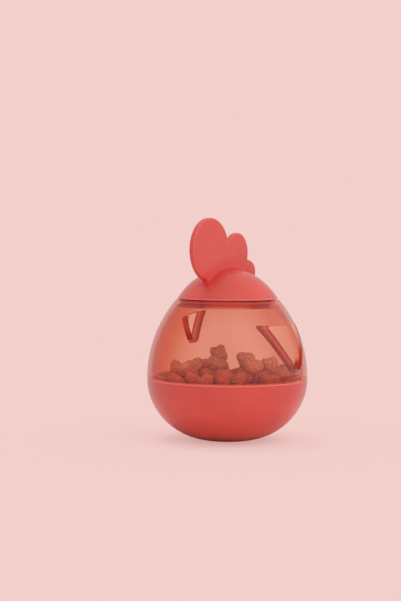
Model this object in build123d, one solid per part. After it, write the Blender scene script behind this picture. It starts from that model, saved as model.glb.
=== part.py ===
from build123d import *
import math
import os

# A treat toy shaped like an egg with a rooster's comb. The weighted round end rights it.
# Millimetres, +Z up, origin at the middle of the foot. The comb's front points along -Y.

# Egg outline
egg_radius = 41.8  # widest, at the seam between base and shell
seam_height = 32.3  # top of the base
foot_radius = 8.0  # flat that the egg stands on
top_radius = 26.8  # shell's top edge
shell_height = 40.8  # seam to the top of the mouth
lid_height = 16.1  # lid edge to the top of the dome
lid_inset = 0.4  # lid edge inside the shell's top edge
lid_curve_drop = 20.0  # centre of the dome's ellipse below the lid edge

# Base bowl
bowl_wall = 2.4
bowl_floor = 2.6
rim_wall = 3.0
rim_round = 0.6
gusset_count = 6
gusset_thickness = 1.6
gusset_reach = 4.0

# Chamber floor
tray_drop = 3.5  # floor below the seam
tray_thickness = 2.0
tray_crown = 2.0  # rise of the floor's middle
tray_rim = 3.0  # flat rim round the crown
tray_clearance = 0.25

# Ballast on its posts
ballast_radius = 22.0
ballast_height = 9.0
ballast_lift = 4.6  # underside above the ground
ballast_clearance = 0.6
ballast_round = 0.8
post_count = 3
post_circle = 14.0
post_diameter = 6.0
post_shoulder = 9.0
post_clearance = 0.4
clamp_gap = 0.3  # post top below the ballast's top
screw_diameter = 2.9
screw_length = 8.0
screw_head_diameter = 9.0
screw_head_height = 2.4
screw_head_round = 0.8
screw_clearance = 0.1
pilot_spare = 0.8  # pilot hole past the screw's tip

# Clear shell
shell_wall = 2.2
seam_gap = 0.2
neck_wall = 1.8
neck_clearance = 0.25
neck_gap = 0.3  # neck above the chamber floor
shoulder_thickness = 1.4
mouth_land = 1.9  # shell's top edge outside the mouth
collar_wall = 1.6
collar_depth = 3.8

# Lugs that lock the shell into the base by a short turn
lug_count = 3
lug_width = 12.0  # degrees
lug_reach = 1.1
lug_height = 1.3
lug_lift = 0.5  # lug above the neck's lower end
lug_clearance = 0.3
unlock_turn = 30.0  # degrees from locked to free

# Openings in the shell. Bearings run anticlockwise from the comb's front, seen from above.
large_bearing = 100.0
large_top = 0.705 * shell_height  # top edge above the seam
large_width = 32.0
large_depth = 0.592 * shell_height  # top edge to where the sides would meet
large_bulge = 2.0  # sides bow outwards
large_apex_round = 4.5
large_corner_round = 1.2
small_bearing = 0.0
small_top = 0.841 * shell_height
small_width = 8.7
small_depth = 0.377 * shell_height
small_bulge = 0.2
small_apex_round = 0.9
small_corner_round = 0.7
small_tilt = 22.0  # degrees
lip_depth = 4.2  # outer face to the lip's inner edge
lip_wall = 1.4

# Lid
lid_gap = 0.2
lid_wall = 2.2
lid_edge_round = 0.6
snap_inset = 5.9  # snap ring inside the mouth
snap_wall = 1.6
snap_fill = 0.73  # share of the room under the dome that the liner's collar takes
snap_clearance = 0.2
bead_reach = 0.4
bead_height = 1.0
bead_drop = 1.0  # bead below the collar's top
skirt_depth = 3.1
skirt_wall = 1.6
skirt_clearance = 0.2
liner_floor = 1.6

# Comb: lobes from front to back as distance in front of the axis, height above the lid edge and
# radii, all as shares of the lid's radius
comb_thickness = 3.2
comb_blend = 0.105
comb_notch_round = 0.8
comb_lobes = (
    (0.595, 0.973, 0.553, 0.617),
    (-0.250, 0.909, 0.333, 0.402),
    (-0.591, 0.530, 0.250, 0.242),
)
comb_root = (0.019, 0.455, 0.587, 0.455)  # joins the lobes, mostly inside the dome

# Heights and radii that follow
chamber_floor = seam_height - tray_drop
tray_seat = chamber_floor - tray_thickness
socket_radius = egg_radius - rim_wall
shell_base = seam_height + seam_gap
shell_top = seam_height + shell_height
shell_taper = egg_radius - top_radius
shell_curve = (shell_height**2 + shell_taper**2) / (2 * shell_taper)  # side in section, upright at the seam
shell_centre = egg_radius - shell_curve
neck_base = chamber_floor + neck_gap
neck_radius = socket_radius - neck_clearance
lug_base = neck_base + lug_lift
ballast_top = ballast_lift + ballast_height
post_top = ballast_top - clamp_gap
lid_edge = shell_top + lid_gap
mouth_radius = top_radius - mouth_land
lid_radius = top_radius - lid_inset
dome_rise = lid_height + lid_curve_drop
dome_reach = lid_radius / math.sqrt(1 - (lid_curve_drop / dome_rise) ** 2)
snap_radius = mouth_radius - snap_inset
snap_room = (dome_rise - lid_wall) * math.sqrt(1 - (snap_radius / (dome_reach - lid_wall)) ** 2)
snap_top = lid_edge + snap_fill * (snap_room - lid_curve_drop)
front = -90.0  # the comb's front as an angle from +X


def turned(*edges):
    """Solid swept round the axis by a closed section, drawn as radius and height, from the back."""
    return Rot(0, 0, -front) * revolve(Plane.XZ * make_face(edges), Axis.Z)


def turned_polygon(*points):
    return turned(Polyline(*points, close=True))


def ring(inner, outer, low, high):
    return turned_polygon((inner, low), (outer, low), (outer, high), (inner, high))


def post(radius, low, high):
    return turned_polygon((0, low), (radius, low), (radius, high), (0, high))


def ring_sector(inner, outer, low, high, start, sweep):
    """Part of a ring that starts at an angle from +X and runs anticlockwise."""
    section = Polyline((inner, low), (outer, low), (outer, high), (inner, high), close=True)
    return Rot(0, 0, start) * revolve(Plane.XZ * make_face(section), Axis.Z, revolution_arc=sweep)


def around(count, start=0.0):
    """Angles of equal places round the axis."""
    return [start + step * 360.0 / count for step in range(count)]


def at_bearing(angle, radius):
    return Pos(radius * math.cos(math.radians(angle)), radius * math.sin(math.radians(angle)), 0)


def bowl_form(wall, floor):
    """The bowl's outside, or with a wall and a floor its inside, as a filled solid."""
    across = egg_radius - foot_radius - wall
    down = seam_height - floor
    side = EllipticalCenterArc((foot_radius, seam_height), across, down, -90, arc_size=90)
    top = Polyline(side @ 1, (0, seam_height), (0, floor), side @ 0)
    return turned(side, top)


def bowl_inside_radius(height):
    rise = (seam_height - height) / (seam_height - bowl_floor)
    return foot_radius + (egg_radius - foot_radius - bowl_wall) * math.sqrt(1 - rise**2)


def bowl_inside_height(radius):
    reach = (radius - foot_radius) / (egg_radius - foot_radius - bowl_wall)
    return seam_height - (seam_height - bowl_floor) * math.sqrt(1 - reach**2)


def shell_form(inset, low, high):
    """All that lies inside the shell's side, moved inwards, between two heights."""
    curve = shell_curve - inset
    start = math.degrees(math.asin((low - seam_height) / curve))
    end = math.degrees(math.asin((high - seam_height) / curve))
    side = CenterArc((shell_centre, seam_height), curve, start, end - start)
    return turned(side, Polyline(side @ 1, (0, high), (0, low), side @ 0))


def dome_form(inset):
    """The dome as a filled solid, moved inwards."""
    start = math.degrees(math.asin(lid_curve_drop / (dome_rise - inset)))
    centre = (0, lid_edge - lid_curve_drop)
    side = EllipticalCenterArc(
        centre, dome_reach - inset, dome_rise - inset, start, arc_size=90 - start
    )
    return turned(side, Polyline(side @ 1, (0, lid_edge), side @ 0))


def opening_outline(width, depth, bulge, apex_round, corner_round, grow=0.0):
    """Triangle on its point, its top edge on the X axis, with bowed sides, moved out, and round corners."""
    slope = math.hypot(width / 2, depth)
    half = width / 2 + grow * slope / depth
    depth += grow * slope / (width / 2)
    length = math.hypot(half, depth)
    bow = (half / 2 + bulge * depth / length, -depth / 2 - bulge * half / length)
    right = ThreePointArc((half, 0), bow, (0, -depth))
    left = ThreePointArc((0, -depth), (-bow[0], bow[1]), (-half, 0))
    outline = make_face([Line((-half, 0), (half, 0)), right, left])
    outline = fillet(outline.vertices().sort_by(Axis.Y)[0], apex_round + grow)
    return fillet(outline.vertices().group_by(Axis.Y)[-1], corner_round)


def opening_plane(bearing, top):
    """Upright plane through the axis that faces out at a bearing."""
    angle = math.radians(front + bearing)
    outward = (math.cos(angle), math.sin(angle), 0)
    sideways = (-math.sin(angle), math.cos(angle), 0)
    return Plane((0, 0, seam_height + top), x_dir=sideways, z_dir=outward)


def make_bowl():
    form = bowl_form(0, 0)
    hollow = bowl_form(bowl_wall, bowl_floor) & post(socket_radius, 0, seam_height)
    hollow += post(socket_radius, tray_seat, seam_height)
    bowl = form - hollow
    rim = bowl.edges().filter_by(GeomType.CIRCLE).group_by(Axis.Z)[-1].sort_by(SortBy.RADIUS)[-1]
    bowl = fillet(rim, rim_round)
    # Gussets that carry the tray, and posts, both rooted halfway into the wall
    core = bowl_form(bowl_wall / 2, bowl_floor / 2)
    reach = socket_radius - gusset_reach
    fin = Pos(reach, 0, 0) * Box(
        egg_radius, gusset_thickness, tray_seat, align=(Align.MIN, Align.CENTER, Align.MIN)
    )
    for angle in around(gusset_count, front + 180 / gusset_count):
        bowl += Rot(0, 0, angle) * fin & core
    # Posts with a shoulder under the ballast and a pilot hole for the screw
    pilot = post_top + clamp_gap - screw_length - pilot_spare
    root = bowl_floor / 2
    stem = post(post_shoulder / 2, root, ballast_lift) + post(post_diameter / 2, root, post_top)
    hole = post((screw_diameter + screw_clearance) / 2, pilot, post_top)
    for angle in around(post_count, front):
        bowl += at_bearing(angle, post_circle) * stem & core
        bowl -= at_bearing(angle, post_circle) * hole
    # Slots for the lugs, each with a way in from the rim
    half = lug_width / 2 + math.degrees(lug_clearance / socket_radius)
    deep = neck_radius + lug_reach + lug_clearance
    low = lug_base - lug_clearance
    high = lug_base + lug_height + lug_clearance
    for angle in around(lug_count, front):
        start = angle - half
        bowl -= ring_sector(neck_radius, deep, low, high, start, unlock_turn + 2 * half)
        bowl -= ring_sector(neck_radius, deep, low, seam_height, start + unlock_turn, 2 * half)
    return bowl


def make_tray():
    edge = socket_radius - tray_clearance
    rim = edge - neck_wall - tray_rim
    crown = ThreePointArc(
        (rim, chamber_floor), (0, chamber_floor + tray_crown), (-rim, chamber_floor)
    ).trim(0, 0.5)
    under = ThreePointArc((rim, tray_seat), (0, tray_seat + tray_crown), (-rim, tray_seat)).trim(0, 0.5)
    return turned(
        crown,
        Line(crown @ 1, under @ 1),
        under,
        Polyline(under @ 0, (edge, tray_seat), (edge, chamber_floor), crown @ 0),
    )


def make_ballast():
    under = bowl_inside_radius(ballast_lift) - ballast_clearance
    edge = bowl_inside_height(ballast_radius) + ballast_clearance
    weight = turned_polygon(
        (0, ballast_lift),
        (under, ballast_lift),
        (ballast_radius, edge),
        (ballast_radius, ballast_top),
        (0, ballast_top),
    )
    weight = fillet(weight.edges().group_by(Axis.Z)[-1], ballast_round)
    hole = post(post_diameter / 2 + post_clearance, 0, ballast_top)
    for angle in around(post_count, front):
        weight -= at_bearing(angle, post_circle) * hole
    return weight


def make_screws():
    head = post(screw_head_diameter / 2, ballast_top, ballast_top + screw_head_height)
    head = fillet(head.edges().group_by(Axis.Z)[-1], screw_head_round)
    screw = head + post(screw_diameter / 2, ballast_top - screw_length, ballast_top)
    return Compound([at_bearing(angle, post_circle) * screw for angle in around(post_count, front)])


def make_shell():
    form = shell_form(0, shell_base, shell_top)
    shell = form - shell_form(shell_wall, shell_base, shell_top)
    shell += ring(mouth_radius, mouth_radius + collar_wall, shell_top - collar_depth, shell_top) & form
    shell -= post(mouth_radius, shell_top - collar_depth, shell_top)
    # Neck, with a flat shoulder out to the wall
    inside = neck_radius - neck_wall
    shell += ring(inside, neck_radius, neck_base, shell_base + shoulder_thickness)
    shell += ring(inside, egg_radius - shell_wall / 2, shell_base, shell_base + shoulder_thickness)
    for angle in around(lug_count, front):
        root = neck_radius - neck_wall / 2
        tip = neck_radius + lug_reach
        start = angle - lug_width / 2
        shell += ring_sector(root, tip, lug_base, lug_base + lug_height, start, lug_width)
    # Openings, each with a lip inside along its two sloping sides
    lip_band = shell_form(shell_wall / 2, shell_base, shell_top)
    lip_band -= shell_form(lip_depth, shell_base, shell_top)
    large = (large_width, large_depth, large_bulge, large_apex_round, large_corner_round)
    small = (small_width, small_depth, small_bulge, small_apex_round, small_corner_round)
    large_plane = opening_plane(large_bearing, large_top)
    small_plane = opening_plane(small_bearing, small_top) * Rot(0, 0, small_tilt)
    for plane, sizes in ((large_plane, large), (small_plane, small)):
        outline = opening_outline(*sizes)
        lip = opening_outline(*sizes, lip_wall)
        shell += extrude(plane * lip, egg_radius) & lip_band
        shell -= extrude(plane * outline, egg_radius)
    return shell


def make_liner():
    skirt = mouth_radius - skirt_clearance
    collar = snap_radius - snap_clearance
    bead = snap_top - bead_drop
    plug = ring(skirt - skirt_wall, skirt, shell_top - skirt_depth, shell_top)
    plug += post(skirt, shell_top - liner_floor, shell_top)
    plug += ring(collar - snap_wall, collar, shell_top - liner_floor, snap_top)
    return plug + turned_polygon(
        (collar - snap_wall / 2, bead - bead_height / 2),
        (collar, bead - bead_height / 2),
        (collar + bead_reach, bead),
        (collar, bead + bead_height / 2),
        (collar - snap_wall / 2, bead + bead_height / 2),
    )


def comb_outline():
    """The comb in its own plane, with its front along +X and height above the lid edge along +Y."""
    outline = Sketch()
    for lobe in comb_lobes + (comb_root,):
        ahead, rise, reach, height = [share * lid_radius for share in lobe]
        outline += Pos(ahead, rise) * Ellipse(reach, height, rotation=180)
    notches = outline.vertices().sort_by(Axis.Y)[1 - len(comb_lobes) :]
    return fillet(notches, comb_notch_round)


def make_cap():
    form = dome_form(0)
    # Comb in the plane through the axis and the front, blended into the dome
    plane = Plane((comb_thickness / 2, 0, lid_edge), x_dir=(0, -1, 0), z_dir=(-1, 0, 0))
    comb = extrude(plane * comb_outline(), comb_thickness)
    cap = form + comb
    cap = fillet(new_edges(form, comb, combined=cap), comb_blend * lid_radius)
    edge = cap.edges().filter_by(GeomType.CIRCLE).group_by(Axis.Z)[0].sort_by(SortBy.RADIUS)[-1]
    cap = fillet(edge, lid_edge_round)
    cap -= dome_form(lid_wall)
    # Ring that takes the liner's collar, with a groove for its bead
    cap += ring(snap_radius, snap_radius + snap_wall, lid_edge, lid_edge + lid_height) & form
    bead = snap_top - bead_drop
    groove = bead_reach + snap_clearance
    return cap - turned_polygon(
        (snap_radius - groove, bead - bead_height / 2 - groove),
        (snap_radius, bead - bead_height / 2 - snap_clearance),
        (snap_radius + bead_reach, bead),
        (snap_radius, bead + bead_height / 2 + snap_clearance),
        (snap_radius - groove, bead + bead_height / 2 + groove),
    )


def main():
    os.makedirs("parts", exist_ok=True)
    nodes = {
        "base_bowl": make_bowl(),
        "base_tray": make_tray(),
        "ballast": make_ballast(),
        "ballast_screws": make_screws(),
        "clear_shell": make_shell(),
        "lid_liner": make_liner(),
        "lid_cap": make_cap(),
    }
    for name, shape in nodes.items():
        export_step(shape, f"parts/{name}.step")


main()
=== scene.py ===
import math
import random
from collections import namedtuple

import bpy
from mathutils import Matrix, Vector, noise


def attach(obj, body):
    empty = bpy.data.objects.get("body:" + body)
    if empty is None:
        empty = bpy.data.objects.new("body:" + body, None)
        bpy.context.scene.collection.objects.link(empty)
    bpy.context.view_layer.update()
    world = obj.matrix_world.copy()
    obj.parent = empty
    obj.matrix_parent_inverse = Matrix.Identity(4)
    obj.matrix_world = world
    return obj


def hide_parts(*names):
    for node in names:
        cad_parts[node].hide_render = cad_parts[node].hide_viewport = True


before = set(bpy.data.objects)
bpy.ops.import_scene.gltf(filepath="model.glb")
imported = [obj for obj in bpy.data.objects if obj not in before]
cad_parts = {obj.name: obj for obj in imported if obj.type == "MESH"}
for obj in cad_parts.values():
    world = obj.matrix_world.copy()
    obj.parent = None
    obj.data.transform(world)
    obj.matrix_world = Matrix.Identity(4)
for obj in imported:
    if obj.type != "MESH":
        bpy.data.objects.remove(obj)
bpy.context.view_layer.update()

# Blender works in metres. Sizes below are in millimetres where nothing else is said.
MM = 0.001
PER_METRE = 1000.0

# The egg, to fit the CAD source. Bearings run anticlockwise from -Y, seen from above.
EGG_RADIUS = 41.8
SEAM = 32.3
SHELL_CURVE = 63.0
SHELL_WALL = 2.2
LIP_DEPTH = 4.2
LARGE_BEARING = 100.0
QUARTER_TURN = 90.0

# The lid's dome, the hollow under it, its snap ring and its comb
LID_EDGE = 73.3
LID_EDGE_ROUND = 1.1
LID_INSIDE = 2.2
DOME_DROP = 20.0
DOME_REACH = 31.71
DOME_RISE = 36.1
SNAP_RADIUS = 19.8
SNAP_HALF = 0.8
COMB_HALF = 1.6
COMB_EDGE = 0.8
COMB_BLEND = 3.8
LOBE_BLEND = 1.6
CORNER_BLEND = 5.0

# The comb's ellipses: ahead of the axis, above the lid's edge, half width and half height
COMB_LOBES = (
    (15.7, 25.7, 14.6, 16.3),
    (-6.6, 24.0, 8.8, 10.6),
    (-15.6, 14.0, 6.6, 6.4),
    (0.5, 12.0, 15.5, 12.0),
)

# Keeps the distance from an ellipse finite at its middle
LEAST_SLOPE = 0.001

# The box and the step in which the lid's field is sampled
FIELD_LOW = (-27.2, -31.6, LID_EDGE - 0.8)
FIELD_HIGH = (27.2, 27.2, LID_EDGE + 43.2)
FIELD_STEP = 0.4
# The lid's skin stays this far inside its field, so that its top keeps to the CAD box.
SKIN_SLACK = 0.04

# The chamber, and how clear of its lips the treats lie
CHAMBER_FLOOR = 28.8
CHAMBER_RADIUS = 36.7
FLOOR_CROWN = 2.0
FLOOR_REACH = 33.7
NECK_TOP = SEAM + 2.5
TREAT_GAP = 0.4

# One treat, with the share of its radius at which treats touch each other and rest on the floor
TREAT_RADIUS = 4.7
TREAT_HALF_WIDTH = 5.4
TREAT_HALF_HEIGHT = 2.9
TREAT_TOUCH = 1.72
TREAT_REST = 0.62
TREAT_POINTS = 28
TREAT_ROWS = 9
# How bluntly its side and its top round off, and its lumps: waves to a millimetre and strength
SIDE_BLUNTNESS = 0.45
TOP_BLUNTNESS = 0.7
LUMPS = ((0.42, 0.55), (1.1, 0.28))
LUMP_SHARE = 0.16
LUMP_SHIFT = Vector((7.3, 3.1, 5.7))

# The treats that drop: how many, from where, in which steps, and how they vary
TREAT_SEED = 41
TREAT_COUNT = 30
DROP_REACH = 33.0
DROP_HEIGHT = 60.0
DROP_STEP = 0.25
DROP_STEPS = 260
PUSH_ROUNDS = 3
KIND_DRAW = (0, 0, 1, 2)
TILT_LIMIT = 0.6
SMALLEST = 0.92
LARGEST = 1.08

# Treats on top of the heap: to the camera's right, towards it and up, lean and turn in degrees, kind
TopTreat = namedtuple("TopTreat", "right near height lean turn kind")
TOP_TREATS = (
    TopTreat(-4.5, -1.0, 44.6, 26.0, 70.0, 1),
    TopTreat(-5.0, 4.0, 39.8, 24.0, 20.0, 0),
    TopTreat(9.5, 2.0, 41.6, -22.0, 60.0, 2),
    TopTreat(13.0, 5.0, 38.6, 12.0, 35.0, 0),
    TopTreat(22.5, 1.0, 38.6, 30.0, 55.0, 1),
    TopTreat(-17.5, 3.0, 38.4, -18.0, 40.0, 0),
    TopTreat(-26.0, 5.0, 36.8, 8.0, 80.0, 2),
    TopTreat(28.0, 9.0, 35.6, -8.0, 15.0, 0),
)

# The camera: bearing and roll in degrees, distance and height in metres
CAMERA_BEARING = 38.0
CAMERA_ROLL = -0.4
CAMERA_DISTANCE = 0.703
CAMERA_HEIGHT = 0.103
CAMERA_NEAR_CLIP = 0.01
# The image's height, the focal length and how far the view is turned left and down, in pixels
IMAGE_HEIGHT = 601
FOCAL_PIXELS = 1350.0
VIEW_LEFT = 27.3
VIEW_DOWN = 58.7
# Turns right, away and up, as the camera has them, to the frame's axes
FROM_CAMERA = Matrix.Rotation(math.radians(CAMERA_BEARING), 3, "Z")

# Lamps in metres and watts: to the camera's right, towards it and up, width, power
LAMPS = {
    "key": (0.85, 0.75, 0.95, 1.7, 3.6),
    "fill": (-0.9, 0.5, 0.8, 1.4, 0.35),
    "top": (-0.38, -0.28, 1.4, 0.3, 4.6),
    "rim": (1.05, -0.75, 0.30, 0.7, 0.5),
}
LAMP_AIM = Vector((0.0, 0.0, 0.05))

# Floor and backdrop in metres
GROUND_HALF_WIDTH = 2.2
FLOOR_FRONT = -1.6
FLOOR_BACK = 0.9
SWEEP_RADIUS = 0.7
SWEEP_STEPS = 16
BACKDROP_TOP = 2.4

# What shows of the studio directly, and what glossy surfaces mirror of it
STUDIO_PINK = (0.89, 0.625, 0.595, 1.0)
STUDIO_GREY = (0.60, 0.555, 0.57, 1.0)

# Opaque plastic
CORAL = (0.765, 0.082, 0.056, 1.0)
CORAL_DEEP = (0.68, 0.066, 0.045, 1.0)
# Painted light: the liner is a lighter copy of the coral, against the shade under the lid's edge
CORAL_LINER_PAINTED_LIGHT = (0.86, 0.13, 0.10, 1.0)
# Painted highlight along the rims that meet the shell
CORAL_RIM_HIGHLIGHT = (0.83, 0.22, 0.18, 1.0)
# Painted shade in the crease where the comb meets the dome
CORAL_CREASE_SHADE = (0.73, 0.030, 0.021, 1.0)
# Painted shade on the comb's edge faces
CORAL_EDGE_SHADE = (0.78, 0.042, 0.028, 1.0)
# Painted highlight along the comb's corner
CORAL_CORNER_HIGHLIGHT = (0.80, 0.19, 0.155, 1.0)
CORAL_COAT = 0.6
COMB_COAT = 0.35
# Heights over which each painted highlight along a rim begins and ends, and how much of it shows
BOWL_RIM_HIGHLIGHT = ((SEAM - 0.75, SEAM - 0.35), (SEAM, SEAM + 1.0))
LID_RIM_HIGHLIGHT = ((LID_EDGE, LID_EDGE + 0.2), (LID_EDGE + 0.65, LID_EDGE + 1.05))
RIM_HIGHLIGHT_SHARE = 0.8
# Distances over which the painted shade in the crease fades, the comb's coat thins and the comb's painted
# edge shade and corner highlight begin
CREASE_SHADE_REACH = (0.6, 6.0)
CREASE_COAT = 0.3
COAT_REACH = (0.5, 4.0)
COMB_START = (2.0, 6.0)
# Distances from the comb's outline for the painted shade on its edge faces and for the painted highlight
# line along its corner
EDGE_SHADE_REACH = (-0.4 * COMB_EDGE, 0.0)
CORNER_HIGHLIGHT_INSET = 0.5 * COMB_EDGE
CORNER_HIGHLIGHT_REACH = (0.1, 0.5)
CORNER_HIGHLIGHT_SHARE = 0.6

# Clear plastic
TINT_FACING = (0.932, 0.642, 0.54, 1.0)
TINT_SLANTED = (0.855, 0.375, 0.232, 1.0)
TINT_LIMB = (0.70, 0.22, 0.14, 1.0)
TINT_NECK = (0.95, 0.80, 0.74, 1.0)
TINT_LIP = (0.80, 0.40, 0.29, 1.0)
TINT_FAR_LIP = (0.985, 0.93, 0.90, 1.0)
TINT_DARK = (0.38, 0.030, 0.012, 1.0)
TINT_LIGHT = (0.96, 0.84, 0.80, 1.0)
NECK_CORAL = (0.80, 0.16, 0.11, 1.0)
# Painted light: the slanting wall's tint is paler on the side at the camera's right, a quarter turn
# from CAMERA_BEARING, standing in for the light that falls there. It is fixed on the shell and turns with
# it.
LIT_SIDE_BEARING = 128.0
LIT_SIDE_REACH = (-20.0, 36.0)
LIT_SIDE_SHARE = 0.66
# Slants, from 0 where the wall faces the eye to 1, over which wall, limb and lips grow darker
WALL_SLANT = (0.10, 0.45)
LIMB_SLANT = (0.45, 0.80)
LIP_SLANT = (0.04, 0.15)
# Heights above the seam over which the hidden neck ends and the openings begin
NECK_END = (-0.2, 0.6)
OPENING_START = (2.0, 4.0)
# Depths below the outer face for cut edges and lips, for their outer line and for the far lip's line
EDGE_START = (0.10, 0.25)
OUTER_LINE = (0.5, 0.8)
OUTER_LINE_SHARE = 0.7
FAR_LINE = (1.9, 2.4)
# The large opening: distance along its bearing, its far side, its line's heights and its dark foot
LARGE_START = (12.0, 16.0)
FAR_START = (-1.5, 0.5)
FAR_LINE_HEIGHT = (16.0, 27.0)
FOOT_HEIGHT = (9.0, 12.0)
FOOT_SHARE = 0.85
# The small opening's paler lip: to the west of a line, and ahead of the axis
PALE_LIP_EAST = (0.0, 2.0)
PALE_LIP_AHEAD = (10.0, 14.0)
PALE_LIP_SHARE = 0.32
# How much of the coat the lips lose
LIP_COAT_LOSS = 0.85

# The baked treats
TREAT_DARK = (0.51, 0.19, 0.09, 1.0)
TREAT_PALE = (0.80, 0.38, 0.195, 1.0)
TREAT_BATCH = (0.56, 0.20, 0.095, 1.0)
TREAT_LOW_SHADE = (0.92, 0.36, 0.28, 1.0)
# Heights over which the painted shade low in the chamber fades, and how one batch differs from another
LOW_SHADE_HEIGHT = (CHAMBER_FLOOR + 5.0, CHAMBER_FLOOR + 13.0)
BATCH_RANGE = (0.4, 0.65)
BATCH_SHARE = 0.5

# Metal, paper and the studio's light
IRON_DARK = (0.07, 0.07, 0.072, 1.0)
IRON_PALE = (0.13, 0.125, 0.12, 1.0)
ZINC_DARK = (0.52, 0.53, 0.56, 1.0)
ZINC_PALE = (0.68, 0.69, 0.70, 1.0)
PAPER = (0.88, 0.61, 0.58, 1.0)
# Painted shadow: the backdrop's glow darker and redder next to the toy's foot
PAPER_PAINTED_SHADOW = (0.80, 0.45, 0.42, 1.0)
STUDIO_LIGHT = (1.0, 0.97, 0.96, 1.0)

# Distances from the toy's foot in metres over which the floor changes to the even backdrop; the first is for
# the shadow painted into the backdrop's glow near the foot
PAINTED_SHADOW_REACH = (0.010, 0.036)
SHADOW_REACH = (0.01, 0.12)
SHADOW_SHARE = 0.72
CLOSE_REACH = (0.03, 0.12)

# The studio's light by a direction's height and by its side: a range, and the strengths at its ends
LIGHT_BY_HEIGHT = (-0.1, 0.9, 0.62, 0.95)
LIGHT_BY_SIDE = (-0.9, 0.9, 0.66, 1.16)
# What glossy surfaces mirror more of at the right: a range, and the most that is added
WINDOW = (0.2, 0.9, 0.5)

# The range that a noise texture mostly keeps to, and a narrower one that gives patches
NOISE_RANGE = (0.3, 0.7)
PATCH_RANGE = (0.35, 0.65)


class Wire:
    """An output in a node tree. Arithmetic on it adds Math nodes."""

    def __init__(self, tree, socket):
        self.tree = tree
        self.socket = socket

    def math(self, operation, *others):
        return self.tree.math(operation, self, *others)

    def __add__(self, other):
        return self.math("ADD", other)

    def __sub__(self, other):
        return self.math("SUBTRACT", other)

    def __rsub__(self, other):
        return self.tree.math("SUBTRACT", other, self)

    def __mul__(self, other):
        return self.math("MULTIPLY", other)

    def __truediv__(self, other):
        return self.math("DIVIDE", other)

    def __rtruediv__(self, other):
        return self.tree.math("DIVIDE", other, self)

    def __neg__(self):
        return self * -1.0

    def __abs__(self):
        return self.math("ABSOLUTE")

    def least(self, other):
        return self.math("MINIMUM", other)

    def most(self, other):
        return self.math("MAXIMUM", other)

    def root(self):
        return self.math("SQRT")

    __radd__ = __add__
    __rmul__ = __mul__


class Tree:
    """A node tree. Every node comes from add, and the other methods are short forms of it."""

    def __init__(self, group):
        self.group = group
        self.group.nodes.clear()

    def add(self, kind, settings=None, sockets=None, output=0):
        """Makes a node: its settings first, then its sockets, where a list holds all the links of one."""
        node = self.group.nodes.new(kind)
        for name, value in (settings or {}).items():
            setattr(node, name, value)
        for key, value in (sockets or {}).items():
            if isinstance(value, (Wire, list)):
                for wire in value if isinstance(value, list) else [value]:
                    self.group.links.new(wire.socket, node.inputs[key])
            else:
                node.inputs[key].default_value = value
        return Wire(self, node.outputs[output]) if node.outputs else None

    def math(self, operation, *values):
        return self.add("ShaderNodeMath", {"operation": operation}, dict(enumerate(values)))

    def given(self, label):
        """A named input of the tree."""
        return self.add("NodeGroupInput", output=label)

    def named(self, label, kind):
        """A named attribute of the points."""
        return self.add("GeometryNodeInputNamedAttribute", {"data_type": kind}, {"Name": label})

    def place(self):
        return self.add("ShaderNodeTexCoord", output="Object")

    def split(self, vector, scale=None):
        """The three parts of a vector, times a scale."""
        node = self.add("ShaderNodeSeparateXYZ", None, {0: vector}).socket.node
        parts = [Wire(self, socket) for socket in node.outputs]
        return [part * scale for part in parts] if scale else parts

    def noise(self, place, scale, detail):
        return self.add("ShaderNodeTexNoise", None, {"Vector": place, "Scale": scale, "Detail": detail})

    def bump(self, height, strength, distance):
        sockets = {"Strength": strength, "Distance": distance, "Height": height}
        return self.add("ShaderNodeBump", None, sockets)

    def mix(self, share, first, second, blend="MIX"):
        settings = {"data_type": "RGBA", "blend_type": blend}
        return self.add("ShaderNodeMix", settings, {0: share, 6: first, 7: second}, 2)

    def spread(self, value, low, high, to_low, to_high):
        """Takes a value from one range to another, held at its ends."""
        sockets = {0: value, 1: low, 2: high, 3: to_low, 4: to_high}
        return self.add("ShaderNodeMapRange", {"clamp": True}, sockets)

    def grow(self, value, low, high, top=1.0):
        """Goes from 0 to its top between two values."""
        return self.spread(value, low, high, 0.0, top)

    def fade(self, value, low, high, top=1.0):
        """Goes from its top to 0 between two values."""
        return self.spread(value, low, high, top, 0.0)

    def band(self, value, start, stop):
        """One from a start to a stop, each of which is a range."""
        return self.grow(value, *start) * self.fade(value, *stop)

    def ray(self, kind):
        """One for rays of a kind."""
        return self.add("ShaderNodeLightPath", output=f"Is {kind} Ray")

    def seen(self):
        """One for rays that show a backdrop straight, in a mirror or through something clear."""
        return self.ray("Camera").most(self.ray("Glossy")).most(self.ray("Transmission"))

    def mirrored(self):
        """One for rays that show a backdrop in a mirror. Rays through rough clear plastic are glossy too."""
        return self.ray("Glossy") * (1.0 - self.ray("Transmission"))

    def principled(self, sockets):
        return self.add("ShaderNodeBsdfPrincipled", None, sockets)

    def blend(self, share, first, second):
        return self.add("ShaderNodeMixShader", None, {0: share, 1: first, 2: second})

    def end(self, surface, kind="ShaderNodeOutputMaterial"):
        self.add(kind, None, {"Surface": surface})


def new_finish(name):
    material = bpy.data.materials.new(name)
    material.use_nodes = True
    return material, Tree(material.node_tree)


def oval(across, up, reach, height):
    """Distance from an ellipse, true near its edge."""
    a = across / reach
    b = up / height
    near = (a * a + b * b).root()
    slope = ((a / reach) * (a / reach) + (b / height) * (b / height)).root()
    return near * (near - 1.0) / slope.most(LEAST_SLOPE)


def comb_outline(ahead, rise, blend):
    """Distance from the comb's outline, seen square to its flat sides."""
    face = None
    for lobe_ahead, lobe_rise, reach, height in COMB_LOBES:
        lobe = oval(ahead - lobe_ahead, rise - lobe_rise, reach, height)
        face = lobe if face is None else face.math("SMOOTH_MIN", lobe, blend)
    return face


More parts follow.
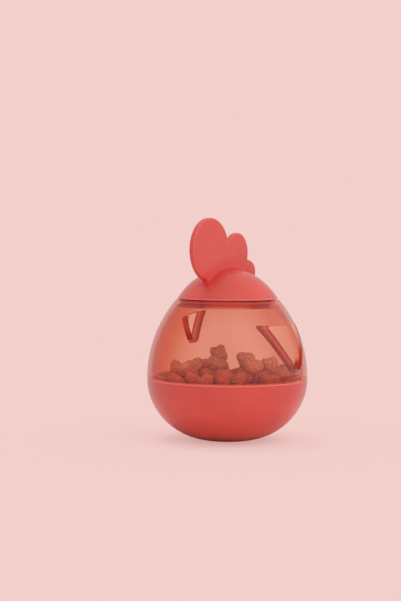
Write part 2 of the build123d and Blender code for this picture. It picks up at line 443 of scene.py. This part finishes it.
def comb_distance(east, ahead, rise, half, edge):
    """Distance from the flat three-lobed comb, its edges rounded."""
    flat = comb_outline(ahead, rise, LOBE_BLEND) + edge
    side = abs(east) - half + edge
    outside = (flat.most(0.0) * flat.most(0.0) + side.most(0.0) * side.most(0.0)).root()
    return flat.most(side).least(0.0) + outside - edge


def dome_distance(reach, rise, inside=0.0):
    """Distance from the lid's dome, or from the hollow under it."""
    return oval(reach, rise + DOME_DROP, DOME_REACH - inside, DOME_RISE - inside)


def along(east, north, bearing):
    """Distance from the axis along a bearing."""
    turn = math.radians(bearing)
    return east * math.sin(turn) - north * math.cos(turn)


def paint_comb(tree, colour, place):
    """Painted shade, redder, in the crease at the comb's foot and on its edge faces, a painted highlight
    line along its corner, and a thinner coat.
    """
    east, north, up = tree.split(place, PER_METRE)
    ahead = -north
    rise = up - LID_EDGE
    dome = dome_distance((east * east + ahead * ahead).root(), rise)
    near = dome.most(comb_distance(east, ahead, rise, COMB_HALF, COMB_EDGE))
    # Painted shade: redder colour in the crease where the comb meets the dome
    colour = tree.mix(tree.fade(near, *CREASE_SHADE_REACH), colour, CORAL_CREASE_SHADE)
    coat = tree.spread(dome, *COAT_REACH, CORAL_COAT, COMB_COAT)
    coat = coat * tree.spread(near, *CREASE_SHADE_REACH, CREASE_COAT, 1.0)
    above = tree.grow(dome, *COMB_START)
    inset = comb_outline(ahead, rise, CORNER_BLEND)
    # Painted shade on the comb's edge faces
    edge = tree.grow(inset, *EDGE_SHADE_REACH) * above
    colour = tree.mix(edge, colour, CORAL_EDGE_SHADE)
    # Painted highlight: a pale line along the comb's corner
    corner = tree.fade(abs(inset + CORNER_HIGHLIGHT_INSET), *CORNER_HIGHLIGHT_REACH, CORNER_HIGHLIGHT_SHARE) * above
    return tree.mix(corner, colour, CORAL_CORNER_HIGHLIGHT), coat


def coral_plastic(name, with_comb=False, pale=CORAL):
    """Opaque satin plastic, finely sparked, with a painted highlight along each rim that meets the shell."""
    material, tree = new_finish(name)
    place = tree.place()
    up = tree.split(place)[2] * PER_METRE
    cloud = tree.noise(place, 55.0, 3.0)
    grain = tree.noise(place, 2600.0, 2.0)
    colour = tree.mix(tree.grow(cloud, *NOISE_RANGE), CORAL_DEEP, pale)
    # Painted highlight: paler colour along the bowl's and the lid's rims where they meet the shell
    rim_highlights = tree.band(up, *BOWL_RIM_HIGHLIGHT).most(tree.band(up, *LID_RIM_HIGHLIGHT))
    colour = tree.mix(rim_highlights * RIM_HIGHLIGHT_SHARE, colour, CORAL_RIM_HIGHLIGHT)
    coat = CORAL_COAT
    if with_comb:
        colour, coat = paint_comb(tree, colour, place)
    shader = tree.principled(
        {
            "Base Color": colour,
            "Roughness": tree.spread(cloud * 0.7 + grain * 0.3, *NOISE_RANGE, 0.30, 0.38),
            "Normal": tree.bump(grain, 0.06, 0.0001),
            "IOR": 1.5,
            "Coat Weight": coat,
            "Coat Roughness": 0.09,
        }
    )
    tree.end(shader)
    return material


def tinted_plastic():
    """Clear moulded plastic, its warm tint deeper where the wall slants and along the openings, and paler on
    one side as painted light.
    """
    material, tree = new_finish("clear_tinted")
    place = tree.place()
    east, north, up = tree.split(place, PER_METRE)
    slant = tree.add("ShaderNodeLayerWeight", None, {"Blend": 0.5}, "Facing")
    rise = up - SEAM
    out = (east * east + north * north).root() + (SHELL_CURVE - EGG_RADIUS)
    depth = SHELL_CURVE - (out * out + rise * rise).root()

    # The wall, and its neck in the base's socket
    # Painted light: the slanted tint weakens towards the lit side
    share = tree.spread(along(east, north, LIT_SIDE_BEARING), *LIT_SIDE_REACH, 1.0, LIT_SIDE_SHARE)
    wall = tree.mix(tree.grow(slant, *WALL_SLANT) * share, TINT_FACING, TINT_SLANTED)
    wall = tree.mix(tree.grow(slant, *LIMB_SLANT) * share, wall, TINT_LIMB)
    neck = tree.fade(rise, *NECK_END)
    wall = tree.mix(neck, wall, TINT_NECK)

    # Cut edges and lips: all that lies between the wall's two faces or inside them
    edge = tree.grow(depth, *EDGE_START) * tree.grow(abs(depth - SHELL_WALL), *EDGE_START)
    edge = edge * tree.grow(rise, *OPENING_START)
    by_large = tree.grow(along(east, north, LARGE_BEARING), *LARGE_START)
    far = tree.grow(along(east, north, LARGE_BEARING + QUARTER_TURN), *FAR_START) * by_large
    wall = tree.mix(edge, wall, tree.mix(far, TINT_LIP, TINT_FAR_LIP))

    # Dark lines along the edges, at the large opening's foot and where a lip is seen aslant
    line = tree.fade(depth, *OUTER_LINE, OUTER_LINE_SHARE) * (1.0 - far)
    line = line.most(tree.fade(depth, *FAR_LINE) * far * tree.fade(rise, *FAR_LINE_HEIGHT))
    foot = tree.fade(rise, *FOOT_HEIGHT, FOOT_SHARE) * by_large
    pale_lip = tree.fade(east, *PALE_LIP_EAST, PALE_LIP_SHARE) * tree.grow(-north, *PALE_LIP_AHEAD)
    slope = tree.grow(slant, *LIP_SLANT) * (1.0 - far) * (1.0 - pale_lip)
    colour = tree.mix(edge * slope.most(line).most(foot), wall, TINT_DARK)

    clear = tree.principled(
        {
            "Base Color": colour,
            "Roughness": tree.spread(tree.noise(place, 40.0, 2.0), *NOISE_RANGE, 0.10, 0.18),
            "IOR": 1.006,
            "Transmission Weight": 1.0,
            "Coat Weight": (1.0 - neck) * (1.0 - edge * LIP_COAT_LOSS),
            "Coat Roughness": 0.04,
        }
    )
    hidden = tree.principled({"Base Color": NECK_CORAL, "Roughness": 0.5})
    open_way = tree.add("ShaderNodeBsdfTransparent", None, {"Color": TINT_LIGHT})
    surface = tree.blend(neck, clear, hidden)
    surface = tree.blend(tree.ray("Diffuse"), surface, open_way)
    tree.end(tree.blend(tree.ray("Shadow"), surface, open_way))
    return material


def cast_iron():
    """Grey sand-cast metal."""
    material, tree = new_finish("cast_iron_grey")
    place = tree.place()
    grit = tree.noise(place, 900.0, 4.0)
    patch = tree.grow(tree.noise(place, 90.0, 3.0), *PATCH_RANGE)
    shader = tree.principled(
        {
            "Base Color": tree.mix(patch, IRON_DARK, IRON_PALE),
            "Metallic": 0.8,
            "Roughness": tree.spread(grit, *NOISE_RANGE, 0.45, 0.65),
            "Normal": tree.bump(grit, 0.5, 0.0003),
        }
    )
    tree.end(shader)
    return material


def plated_steel():
    """Zinc plated screw steel."""
    material, tree = new_finish("zinc_plated")
    smear = tree.noise(tree.place(), 1200.0, 2.0)
    shader = tree.principled(
        {
            "Base Color": tree.mix(smear, ZINC_DARK, ZINC_PALE),
            "Metallic": 1.0,
            "Roughness": tree.spread(smear, *NOISE_RANGE, 0.24, 0.36),
        }
    )
    tree.end(shader)
    return material


def baked_treat():
    """Dry baked biscuit with crumbs and pits, with painted shade making it darker and redder low in the
    chamber.
    """
    material, tree = new_finish("baked_treat_crust")
    place = tree.place()
    crumb = tree.noise(place, 700.0, 5.0)
    batch = tree.noise(place, 120.0, 2.0)
    pits = tree.add("ShaderNodeTexVoronoi", None, {"Vector": place, "Scale": 900.0})
    colour = tree.mix(tree.grow(crumb, *PATCH_RANGE), TREAT_DARK, TREAT_PALE)
    colour = tree.mix(tree.grow(batch, *BATCH_RANGE, BATCH_SHARE), colour, TREAT_BATCH)
    height = tree.split(place)[2] * PER_METRE
    # Painted shade: treats low in the chamber darker and redder
    low = tree.fade(height, *LOW_SHADE_HEIGHT)
    shader = tree.principled(
        {
            "Base Color": tree.mix(low, colour, TREAT_LOW_SHADE, "MULTIPLY"),
            "Roughness": tree.spread(crumb, *NOISE_RANGE, 0.65, 0.85),
            "Normal": tree.bump(crumb * 0.7 + pits * 0.5, 0.45, 0.0006),
        }
    )
    tree.end(shader)
    return material


def paper_ground():
    """Plain pale floor that keeps the toy's shadow, with a shadow painted into its glow near the foot, and
    an even backdrop away from it.
    """
    material, tree = new_finish("pale_ground")
    paper = tree.principled({"Base Color": PAPER, "Roughness": 0.8, "Specular IOR Level": 0.1})
    # How far from the toy's foot, in metres
    reach = tree.add("ShaderNodeVectorMath", {"operation": "LENGTH"}, {0: tree.place()}, "Value")
    mirrored = tree.mirrored()
    # Painted shadow: the glow is darker and redder near the toy's foot
    glow_with_painted_shadow = tree.mix(tree.grow(reach, *PAINTED_SHADOW_REACH), PAPER_PAINTED_SHADOW, STUDIO_PINK)
    glow_with_painted_shadow = tree.mix(mirrored, glow_with_painted_shadow, STUDIO_GREY)
    even = tree.add("ShaderNodeEmission", None, {"Color": glow_with_painted_shadow, "Strength": 1.0})
    away = tree.spread(reach, *SHADOW_REACH, SHADOW_SHARE, 1.0)
    close = mirrored * tree.fade(reach, *CLOSE_REACH)
    tree.end(tree.blend(away * tree.seen() * (1.0 - close), paper, even))
    return material


def shaped_tree(name, sizes):
    """A Geometry Nodes tree with a named input for each size."""
    group = bpy.data.node_groups.new(name, "GeometryNodeTree")
    group.interface.new_socket("Geometry", in_out="INPUT", socket_type="NodeSocketGeometry")
    for label, (kind, value) in sizes.items():
        socket = group.interface.new_socket(label, in_out="INPUT", socket_type=kind)
        if value is not None:
            socket.default_value = value
    group.interface.new_socket("Geometry", in_out="OUTPUT", socket_type="NodeSocketGeometry")
    return group


def shape_piece(name, group, seed_mesh, values):
    """Runs a tree on a mesh and keeps the result as a plain mesh at the origin."""
    holder = bpy.data.objects.new(name + "_seed", seed_mesh)
    bpy.context.scene.collection.objects.link(holder)
    modifier = holder.modifiers.new(name, "NODES")
    modifier.node_group = group
    for item in group.interface.items_tree:
        if item.in_out == "INPUT" and item.name in values:
            modifier[item.identifier] = values[item.name]
    graph = bpy.context.evaluated_depsgraph_get()
    mesh = bpy.data.meshes.new_from_object(holder.evaluated_get(graph), depsgraph=graph)
    holder.modifiers.clear()
    bpy.data.objects.remove(holder)
    mesh.name = name
    piece = bpy.data.objects.new(name, mesh)
    bpy.context.scene.collection.objects.link(piece)
    return piece


def lid_tree():
    """The lid as a solid field: dome and comb run into each other, edges round, and the dome is hollow."""
    group = shaped_tree(
        "lid_form",
        {
            "Comb Half Thickness": ("NodeSocketFloat", COMB_HALF),
            "Comb Edge Round": ("NodeSocketFloat", COMB_EDGE),
            "Comb Blend": ("NodeSocketFloat", COMB_BLEND),
            "Lid Edge Round": ("NodeSocketFloat", LID_EDGE_ROUND),
            "Material": ("NodeSocketMaterial", None),
        },
    )
    tree = Tree(group)
    east, north, up = tree.split(tree.add("GeometryNodeInputPosition"), PER_METRE)
    ahead = -north
    rise = up - LID_EDGE

    comb = comb_distance(east, ahead, rise, tree.given("Comb Half Thickness"), tree.given("Comb Edge Round"))
    reach = (east * east + ahead * ahead).root()
    hollow = dome_distance(reach, rise, LID_INSIDE)
    solid = dome_distance(reach, rise).math("SMOOTH_MIN", comb, tree.given("Comb Blend"))
    solid = solid.math("SMOOTH_MAX", -rise, tree.given("Lid Edge Round"))
    ring = (abs(reach - SNAP_RADIUS) - SNAP_HALF).most(solid)
    lid = solid.most(-hollow).least(ring) + SKIN_SLACK

    field = {"Density": 0.5 - lid * 0.5, "Background": 0.0}
    field["Min"] = Vector(FIELD_LOW) * MM
    field["Max"] = Vector(FIELD_HIGH) * MM
    for axis, low, high in zip("XYZ", FIELD_LOW, FIELD_HIGH):
        field[f"Resolution {axis}"] = round((high - low) / FIELD_STEP) + 1
    cloud = tree.add("GeometryNodeVolumeCube", None, field)
    sockets = {"Volume": cloud, "Threshold": 0.5}
    skin = tree.add("GeometryNodeVolumeToMesh", {"resolution_mode": "GRID"}, sockets)
    skin = tree.add("GeometryNodeSetShadeSmooth", None, {"Geometry": skin})
    skin = tree.add("GeometryNodeRealizeInstances", None, {"Geometry": skin})
    sockets = {"Geometry": skin, "Material": tree.given("Material")}
    skin = tree.add("GeometryNodeSetMaterial", None, sockets)
    tree.add("NodeGroupOutput", None, {0: skin})
    return group


def make_lid(plastic):
    lid = shape_piece("lid_dome_comb", lid_tree(), bpy.data.meshes.new("lid_seed"), {"Material": plastic})
    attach(lid, "lid")
    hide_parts("lid_cap")


def heart(turn):
    """Edge distance of a heart outline at a bearing, its notch along +Y."""
    lift = math.sin(turn)
    notch = max(0.0, lift) ** 6
    point = max(0.0, -lift) ** 5
    return 0.92 - 0.42 * notch + 0.22 * point + 0.10 * abs(math.cos(turn))


def clover(turn):
    """Edge distance of a blunt four-lobed biscuit."""
    return 0.86 + 0.13 * math.cos(4 * turn)


def wedge(turn):
    """Edge distance of a blunt three-cornered biscuit."""
    return 0.84 + 0.14 * math.cos(3 * turn)


def treat_mesh(name, outline, seed):
    """One biscuit: a plump tablet with an uneven baked surface."""
    shift = LUMP_SHIFT * seed

    def surface(turn, tilt):
        reach = outline(turn) * TREAT_HALF_WIDTH * math.cos(tilt) ** SIDE_BLUNTNESS
        up = TREAT_HALF_HEIGHT * math.copysign(abs(math.sin(tilt)) ** TOP_BLUNTNESS, tilt)
        point = Vector((reach * math.cos(turn), reach * math.sin(turn), up))
        lump = sum(noise.noise(point * waves + shift) * strength for waves, strength in LUMPS)
        return point * (1.0 + lump * LUMP_SHARE) * MM

    points = [surface(0.0, -math.pi / 2)]
    for row in range(1, TREAT_ROWS):
        tilt = -math.pi / 2 + math.pi * row / TREAT_ROWS
        points.extend(surface(math.tau * step / TREAT_POINTS, tilt) for step in range(TREAT_POINTS))
    points.append(surface(0.0, math.pi / 2))
    last = len(points) - 1
    top = last - TREAT_POINTS
    faces = []
    for step in range(TREAT_POINTS):
        after = (step + 1) % TREAT_POINTS
        faces.append((0, 1 + after, 1 + step))
        for low in range(1, top, TREAT_POINTS):
            high = low + TREAT_POINTS
            faces.append((low + step, low + after, high + after, high + step))
        faces.append((top + step, top + after, last))
    mesh = bpy.data.meshes.new(name)
    mesh.from_pydata(points, [], faces)
    mesh.update()
    return mesh


def chamber_wall(height):
    """Radius that the treats keep to at a height, clear of the neck and the openings' lips."""
    if height < NECK_TOP:
        return CHAMBER_RADIUS
    side = EGG_RADIUS - SHELL_CURVE + math.sqrt(SHELL_CURVE**2 - (height - SEAM) ** 2)
    return min(CHAMBER_RADIUS, side - LIP_DEPTH - TREAT_GAP)


def chamber_rise(reach):
    """Height of the crowned floor at a distance from the axis."""
    return CHAMBER_FLOOR + FLOOR_CROWN * max(0.0, 1.0 - (reach / FLOOR_REACH) ** 2)


def push_clear(place, others):
    """Moves a treat off the others, then off the wall and the floor."""
    for other in others:
        gap = place - other
        need = TREAT_RADIUS * TREAT_TOUCH - gap.length
        if need > 0.0:
            place += gap.normalized() * need
    reach = math.hypot(place.x, place.y)
    keep = chamber_wall(place.z) - TREAT_RADIUS
    if reach > keep:
        place.x *= keep / reach
        place.y *= keep / reach
    place.z = max(place.z, chamber_rise(min(reach, keep)) + TREAT_RADIUS * TREAT_REST)


def settle_treats(draw):
    """Places for the treats on the floor: each one drops and slides down until it rests."""
    places = []
    for _ in range(TREAT_COUNT):
        turn = draw.uniform(0.0, math.tau)
        out = DROP_REACH * math.sqrt(draw.random())
        place = Vector((out * math.cos(turn), out * math.sin(turn), DROP_HEIGHT))
        for _ in range(DROP_STEPS):
            place.z -= DROP_STEP
            for _ in range(PUSH_ROUNDS):
                push_clear(place, places)
        places.append(place)
    return places


def treat_tree(shapes):
    """Sets one of the biscuit shapes at each place, turned and sized as the place says."""
    group = shaped_tree(
        "treat_heap",
        {"Treat Size": ("NodeSocketFloat", 1.0), "Material": ("NodeSocketMaterial", None)},
    )
    tree = Tree(group)
    kinds = []
    for shape in shapes:
        sockets = {"Object": shape, "As Instance": True}
        kinds.append(tree.add("GeometryNodeObjectInfo", None, sockets, "Geometry"))
    # The node that joins them puts its newest link first.
    joined = tree.add("GeometryNodeJoinGeometry", None, {0: kinds[::-1]})
    turn = tree.add("FunctionNodeEulerToRotation", None, {0: tree.named("turn", "FLOAT_VECTOR")})
    heap = tree.add(
        "GeometryNodeInstanceOnPoints",
        None,
        {
            "Points": tree.given("Geometry"),
            "Instance": joined,
            "Pick Instance": True,
            "Instance Index": tree.named("kind", "INT"),
            "Rotation": turn,
            "Scale": tree.named("grown", "FLOAT") * tree.given("Treat Size"),
        },
    )
    heap = tree.add("GeometryNodeSetShadeSmooth", None, {"Geometry": heap})
    heap = tree.add("GeometryNodeRealizeInstances", None, {"Geometry": heap})
    sockets = {"Geometry": heap, "Material": tree.given("Material")}
    heap = tree.add("GeometryNodeSetMaterial", None, sockets)
    tree.add("NodeGroupOutput", None, {0: heap})
    return group


def treat_places():
    """Points for all treats, each with its turn, its kind and how much it has grown."""
    draw = random.Random(TREAT_SEED)
    places = settle_treats(draw)
    tops = [None] * len(places) + list(TOP_TREATS)
    places.extend(FROM_CAMERA @ Vector((top.right, -top.near, top.height)) for top in TOP_TREATS)
    turns = []
    kinds = []
    grown = []
    for top in tops:
        kind = draw.choice(KIND_DRAW)
        tilts = [draw.uniform(-TILT_LIMIT, TILT_LIMIT) for _ in "XY"]
        pose = (*tilts, draw.uniform(0.0, math.tau))
        if top:
            kind = top.kind
            lean = Matrix.Rotation(math.radians(top.lean), 3, "Y")
            pose = (FROM_CAMERA @ lean @ Matrix.Rotation(math.radians(top.turn), 3, "X")).to_euler()
        turns.extend(pose)
        kinds.append(kind)
        grown.append(draw.uniform(SMALLEST, LARGEST))
    mesh = bpy.data.meshes.new("treat_places")
    mesh.from_pydata([place * MM for place in places], [], [])
    for label, form, field, values in (
        ("turn", "FLOAT_VECTOR", "vector", turns),
        ("kind", "INT", "value", kinds),
        ("grown", "FLOAT", "value", grown),
    ):
        mesh.attributes.new(label, form, "POINT")
        mesh.attributes[label].data.foreach_set(field, values)
    return mesh


def make_treats(crust):
    shapes = []
    for number, outline in enumerate((heart, clover, wedge)):
        mesh = treat_mesh(f"treat_{number}", outline, number)
        shape = bpy.data.objects.new(f"treat_kind_{number}", mesh)
        bpy.context.scene.collection.objects.link(shape)
        shapes.append(shape)
    bpy.context.view_layer.update()
    heap = shape_piece("treats", treat_tree(shapes), treat_places(), {"Material": crust})
    for shape in shapes:
        bpy.data.objects.remove(shape)
    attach(heap, "base")


def dress(node, material):
    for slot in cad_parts[node].material_slots:
        slot.material = material


def make_ground(material):
    """Floor that sweeps up into the backdrop behind the toy, square to the camera."""
    profile = [(FLOOR_FRONT, 0.0), (FLOOR_BACK, 0.0)]
    for step in range(1, SWEEP_STEPS + 1):
        bend = math.pi / 2 * step / SWEEP_STEPS
        out = FLOOR_BACK + SWEEP_RADIUS * math.sin(bend)
        profile.append((out, SWEEP_RADIUS - SWEEP_RADIUS * math.cos(bend)))
    profile.append((FLOOR_BACK + SWEEP_RADIUS, BACKDROP_TOP))
    points = []
    faces = []
    for number, (depth, height) in enumerate(profile):
        for side in (-GROUND_HALF_WIDTH, GROUND_HALF_WIDTH):
            points.append(FROM_CAMERA @ Vector((side, depth, height)))
        if number:
            faces.append((2 * number - 2, 2 * number - 1, 2 * number + 1, 2 * number))
    mesh = bpy.data.meshes.new("ground")
    mesh.from_pydata(points, [], faces)
    mesh.polygons.foreach_set("use_smooth", [True] * len(faces))
    mesh.materials.append(material)
    ground = bpy.data.objects.new("ground", mesh)
    bpy.context.scene.collection.objects.link(ground)


def make_camera():
    data = bpy.data.cameras.new("camera")
    data.sensor_fit = "VERTICAL"
    data.angle_y = 2 * math.atan(IMAGE_HEIGHT / 2 / FOCAL_PIXELS)
    data.clip_start = CAMERA_NEAR_CLIP
    camera = bpy.data.objects.new("camera", data)
    camera.location = FROM_CAMERA @ Vector((0.0, -CAMERA_DISTANCE, CAMERA_HEIGHT))
    yaw = math.radians(CAMERA_BEARING) + math.atan(VIEW_LEFT / FOCAL_PIXELS)
    pitch = math.pi / 2 - math.atan(VIEW_DOWN / FOCAL_PIXELS)
    turn = Matrix.Rotation(yaw, 3, "Z") @ Matrix.Rotation(pitch, 3, "X")
    turn = turn @ Matrix.Rotation(-math.radians(CAMERA_ROLL), 3, "Z")
    camera.rotation_euler = turn.to_euler()
    bpy.context.scene.collection.objects.link(camera)
    bpy.context.scene.camera = camera


def add_lamp(name, right, near, height, width, power):
    """Soft round lamp that lights the toy and shows in no reflection."""
    data = bpy.data.lights.new(name, "AREA")
    data.shape = "DISK"
    data.size = width
    data.energy = power
    lamp = bpy.data.objects.new(name, data)
    place = FROM_CAMERA @ Vector((right, -near, height))
    lamp.location = place
    lamp.visible_glossy = False
    lamp.rotation_euler = (LAMP_AIM - place).to_track_quat("-Z", "Y").to_euler()
    bpy.context.scene.collection.objects.link(lamp)


def make_light():
    """Even studio round the toy, brighter from above and from the camera's right, with four lamps."""
    world = bpy.data.worlds.new("studio")
    world.use_nodes = True
    tree = Tree(world.node_tree)
    east, north, up = tree.split(tree.add("ShaderNodeTexCoord", output="Generated"))
    right = along(east, north, CAMERA_BEARING + QUARTER_TURN)
    strength = tree.spread(up, *LIGHT_BY_HEIGHT) * tree.spread(right, *LIGHT_BY_SIDE)
    sockets = {"Color": STUDIO_LIGHT, "Strength": strength}
    shade = tree.add("ShaderNodeBackground", None, sockets)
    mirrored = tree.mirrored()
    window = mirrored * tree.grow(right, *WINDOW) + 1.0
    tone = tree.mix(mirrored, STUDIO_PINK, STUDIO_GREY)
    even = tree.add("ShaderNodeBackground", None, {"Color": tone, "Strength": window})
    tree.end(tree.blend(tree.seen(), shade, even), "ShaderNodeOutputWorld")
    bpy.context.scene.world = world
    for name, sizes in LAMPS.items():
        add_lamp(name, *sizes)


make_camera()
coral = coral_plastic("coral_satin")
for node in ("base_bowl", "base_tray", "lid_cap"):
    dress(node, coral)
# Painted light: a lighter coral on the liner, where it lies in shade under the lid's edge
dress("lid_liner", coral_plastic("coral_satin_liner_painted_light", pale=CORAL_LINER_PAINTED_LIGHT))
dress("clear_shell", tinted_plastic())
dress("ballast", cast_iron())
dress("ballast_screws", plated_steel())
make_lid(coral_plastic("coral_satin_lid", with_comb=True))
make_treats(baked_treat())
make_ground(paper_ground())
make_light()
bpy.context.scene.view_settings.view_transform = "Standard"
